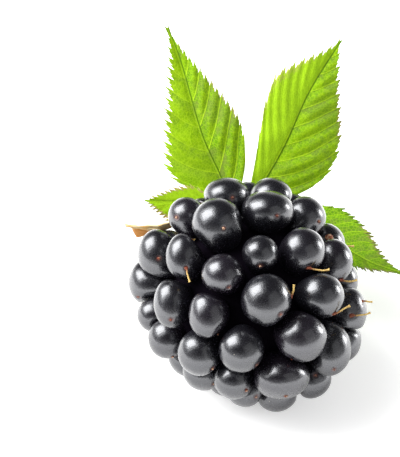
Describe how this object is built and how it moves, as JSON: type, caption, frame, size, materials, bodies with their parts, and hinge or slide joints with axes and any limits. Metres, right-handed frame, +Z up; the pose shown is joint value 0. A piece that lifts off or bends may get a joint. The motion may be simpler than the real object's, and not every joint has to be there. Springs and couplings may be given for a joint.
{
  "type": "bramble berry",
  "caption": "Ripe bramble berry lying on its side, with its calyx, stalk and a leaf of toothed leaflets.",
  "frame": {"origin": "middle of the flat under the lowest drupelet, which is right below the middle of the fruit", "axes": "+Z up from the surface that the fruit lies on, +Y towards the stalk and the leaf, -Y towards the fruit's tip"},
  "size_m": [0.032, 0.0463, 0.0271],
  "materials": {
    "fruit": "glossy, near-black violet skin",
    "calyx": "downy, pale green",
    "sepal": "dried, straw-coloured",
    "stalk": "green, slightly ribbed",
    "leaf": "soft sheen, bright yellow-green"
  },
  "bodies": {
    "root": {"fruit": "fruit", "calyx": "calyx", "sepal_1": "sepal", "sepal_2": "sepal", "sepal_3": "sepal", "sepal_4": "sepal", "sepal_5": "sepal", "fruit_stalk": "stalk", "leaf_stalk": "stalk", "leaflet_upper_left": "leaf", "leaflet_upper_right": "leaf", "leaflet_right": "leaf", "leaflet_small_left": "leaf"}
  },
  "joints": []
}
